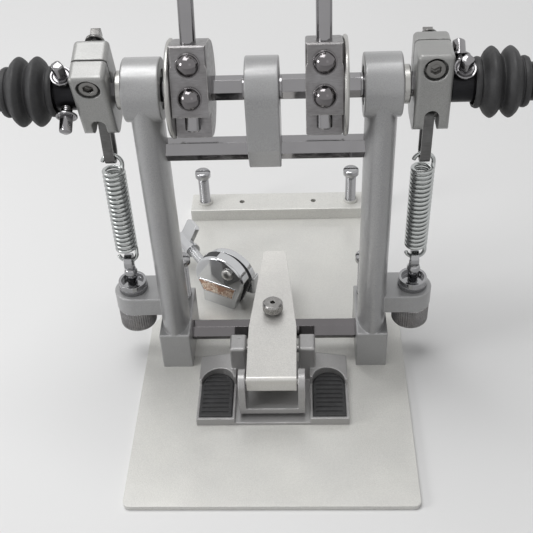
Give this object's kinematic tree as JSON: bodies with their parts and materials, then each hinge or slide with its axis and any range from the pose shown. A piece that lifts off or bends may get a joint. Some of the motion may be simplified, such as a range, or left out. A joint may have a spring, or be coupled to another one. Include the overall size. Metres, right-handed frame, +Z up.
{
  "type": "double bass drum pedal",
  "caption": "Centre unit of a double bass drum pedal: base plate, posts, sprung beater shafts with felt beaters, universal joints for drive shafts, and a hoop clamp.",
  "frame": {"origin": "on the floor, under the shaft axis, midway between the posts", "axes": "+X to the right seen from the drum, -Y towards the drum, +Z up"},
  "size_m": [0.291, 0.2789, 0.3693],
  "materials": {
    "plate": "satin silver paint, lightly scratched",
    "post": "satin metallic grey paint",
    "clamp": "satin silver paint",
    "chrome": "polished",
    "hub": "satin, worn edges",
    "zinc": "bright zinc",
    "dark_metal": "dark oxide",
    "grey_metal": "satin",
    "black_metal": "black satin",
    "rubber": "matte",
    "felt": "dense felt"
  },
  "bodies": {
    "frame": {"base_plate": "plate", "rear_bar": "plate", "left_post": "post", "right_post": "post", "lower_crossbar": "chrome", "upper_crossbar": "chrome", "centre_block": "post", "shaft_bearings": "dark_metal", "frame_screws": "dark_metal", "clamp_base": "clamp", "clamp_pads": "rubber", "clip_body": "chrome", "clip_lining": "rubber", "clip_jaw": "chrome"},
    "left_rocker": {"left_shaft": "chrome", "left_hub": "hub", "left_hub_disc": "hub", "left_rod_screws": "chrome", "left_shaft_collar": "chrome", "left_spring_lever": "post", "left_lever_fasteners": "grey_metal", "left_joint_collar": "black_metal", "left_collar_bolts": "chrome", "left_boot": "rubber"},
    "left_beater": {"left_beater_rod": "chrome", "left_beater_head": "felt"},
    "left_tension_nuts": {"left_spring_nuts": "grey_metal"},
    "left_hook": {"left_eyebolt": "chrome"},
    "left_coil": {"left_spring": "zinc"},
    "left_strap": {"left_spring_link": "dark_metal"},
    "left_cross": {"left_joint_spider": "grey_metal"},
    "left_drive_yoke": {"left_outer_yoke": "black_metal"},
    "right_rocker": {"right_shaft": "chrome", "right_hub": "hub", "right_hub_disc": "hub", "right_rod_screws": "chrome", "right_shaft_collar": "chrome", "right_spring_lever": "post", "right_lever_fasteners": "grey_metal", "right_joint_collar": "black_metal", "right_collar_bolts": "chrome", "right_boot": "rubber"},
    "right_beater": {"right_beater_rod": "chrome", "right_beater_head": "felt"},
    "right_tension_nuts": {"right_spring_nuts": "grey_metal"},
    "right_hook": {"right_eyebolt": "chrome"},
    "right_coil": {"right_spring": "zinc"},
    "right_strap": {"right_spring_link": "dark_metal"},
    "right_cross": {"right_joint_spider": "grey_metal"},
    "right_drive_yoke": {"right_outer_yoke": "black_metal"},
    "left_front_spur": {"left_front_spur": "chrome"},
    "right_front_spur": {"right_front_spur": "chrome"},
    "left_rear_spur": {"left_rear_spur": "chrome"},
    "right_rear_spur": {"right_rear_spur": "chrome"},
    "clamp_arm": {"clamp_lever": "plate", "clamp_pins": "grey_metal"},
    "clamp_shoe": {"clamp_foot": "clamp"},
    "clamp_jack": {"clamp_screw": "dark_metal"},
    "clip_key": {"clip_screw": "chrome"}
  },
  "joints": [
    {"name": "left_stroke", "type": "hinge", "parent": "frame", "child": "left_rocker", "pos_m": [0, 0, 0.194], "axis": [1, 0, 0], "range_deg": [0, 50], "stiffness_Nm_per_rad": 1.2, "springref_deg": -28.65},
    {"name": "left_beater_height", "type": "slide", "parent": "left_rocker", "child": "left_beater", "axis": [0, 0.2924, 0.9563], "range_m": [-0.005, 0.012]},
    {"name": "left_tension_turn", "type": "hinge", "parent": "frame", "child": "left_tension_nuts", "pos_m": [-0.0856, 0.0022, 0.0763], "axis": [0, 0, 1], "range_deg": [0, 730]},
    {"name": "left_tension", "type": "slide", "parent": "frame", "child": "left_hook", "axis": [0, 0, 1], "range_m": [0, 0.002]},
    {"name": "left_spring_swing", "type": "hinge", "parent": "left_hook", "child": "left_coil", "pos_m": [-0.0856, 0.0022, 0.0763], "axis": [1, 0, 0], "range_deg": [-9, 1]},
    {"name": "left_spring_pull", "type": "slide", "parent": "left_coil", "child": "left_strap", "axis": [0, 0.0308, 0.9995], "range_m": [-0.0005, 0.0115], "deforming": ["left_spring"]},
    {"name": "left_joint_swing", "type": "hinge", "parent": "left_rocker", "child": "left_cross", "pos_m": [-0.1203, 0, 0.194], "axis": [0, 0, 1], "range_deg": [-25, 25], "stiffness_Nm_per_rad": 0.4, "deforming": ["left_boot"]},
    {"name": "left_joint_nod", "type": "hinge", "parent": "left_cross", "child": "left_drive_yoke", "pos_m": [-0.1203, 0, 0.194], "axis": [0, 1, 0], "range_deg": [-25, 25], "stiffness_Nm_per_rad": 0.4, "deforming": ["left_boot"]},
    {"name": "right_stroke", "type": "hinge", "parent": "frame", "child": "right_rocker", "pos_m": [0, 0, 0.194], "axis": [1, 0, 0], "range_deg": [0, 50], "stiffness_Nm_per_rad": 1.2, "springref_deg": -28.65},
    {"name": "right_beater_height", "type": "slide", "parent": "right_rocker", "child": "right_beater", "axis": [0, 0.2924, 0.9563], "range_m": [-0.005, 0.012]},
    {"name": "right_tension_turn", "type": "hinge", "parent": "frame", "child": "right_tension_nuts", "pos_m": [0.0856, 0.0022, 0.0763], "axis": [0, 0, 1], "range_deg": [0, 730]},
    {"name": "right_tension", "type": "slide", "parent": "frame", "child": "right_hook", "axis": [0, 0, 1], "range_m": [0, 0.002]},
    {"name": "right_spring_swing", "type": "hinge", "parent": "right_hook", "child": "right_coil", "pos_m": [0.0856, 0.0022, 0.0763], "axis": [1, 0, 0], "range_deg": [-9, 1]},
    {"name": "right_spring_pull", "type": "slide", "parent": "right_coil", "child": "right_strap", "axis": [0, -0.0234, 0.9997], "range_m": [-0.0005, 0.0115], "deforming": ["right_spring"]},
    {"name": "right_joint_swing", "type": "hinge", "parent": "right_rocker", "child": "right_cross", "pos_m": [0.1203, 0, 0.194], "axis": [0, 0, 1], "range_deg": [-25, 25], "stiffness_Nm_per_rad": 0.4, "deforming": ["right_boot"]},
    {"name": "right_joint_nod", "type": "hinge", "parent": "right_cross", "child": "right_drive_yoke", "pos_m": [0.1203, 0, 0.194], "axis": [0, 1, 0], "range_deg": [-25, 25], "stiffness_Nm_per_rad": 0.4, "deforming": ["right_boot"]},
    {"name": "left_front_spur_height", "type": "slide", "parent": "frame", "child": "left_front_spur", "axis": [0, 0, 1], "range_m": [-0.012, 0.01]},
    {"name": "right_front_spur_height", "type": "slide", "parent": "frame", "child": "right_front_spur", "axis": [0, 0, 1], "range_m": [-0.012, 0.01]},
    {"name": "left_rear_spur_height", "type": "slide", "parent": "frame", "child": "left_rear_spur", "axis": [0, 0, 1], "range_m": [-0.012, 0.004]},
    {"name": "right_rear_spur_height", "type": "slide", "parent": "frame", "child": "right_rear_spur", "axis": [0, 0, 1], "range_m": [-0.012, 0.004]},
    {"name": "clamp_tilt", "type": "hinge", "parent": "frame", "child": "clamp_arm", "pos_m": [0, -0.0232, 0.026], "axis": [1, 0, 0], "range_deg": [-12, 0]},
    {"name": "shoe_swivel", "type": "hinge", "parent": "clamp_arm", "child": "clamp_shoe", "pos_m": [0, -0.052, 0.028], "axis": [1, 0, 0], "range_deg": [-10, 10]},
    {"name": "jack_height", "type": "slide", "parent": "clamp_arm", "child": "clamp_jack", "axis": [0, 0, 1], "range_m": [0, 0.0061]},
    {"name": "clip_turn", "type": "hinge", "parent": "frame", "child": "clip_key", "pos_m": [-0.04787, 0.05744, 0.0245], "axis": [-0.518, 0.8554, 0], "continuous": true}
  ],
  "couplings": [
    {"joint": "left_tension_turn", "follows": "left_tension", "rad_per_m": 6283.2},
    {"joint": "left_spring_swing", "follows": "left_stroke", "ratio": -0.10972},
    {"joint": "left_spring_pull", "follows": "left_stroke", "m_per_rad": 0.012289},
    {"joint": "right_tension_turn", "follows": "right_tension", "rad_per_m": 6283.2},
    {"joint": "right_spring_swing", "follows": "right_stroke", "ratio": -0.14545},
    {"joint": "right_spring_pull", "follows": "right_stroke", "m_per_rad": 0.0078097},
    {"joint": "jack_height", "follows": "clamp_tilt", "m_per_rad": -0.028648}
  ]
}
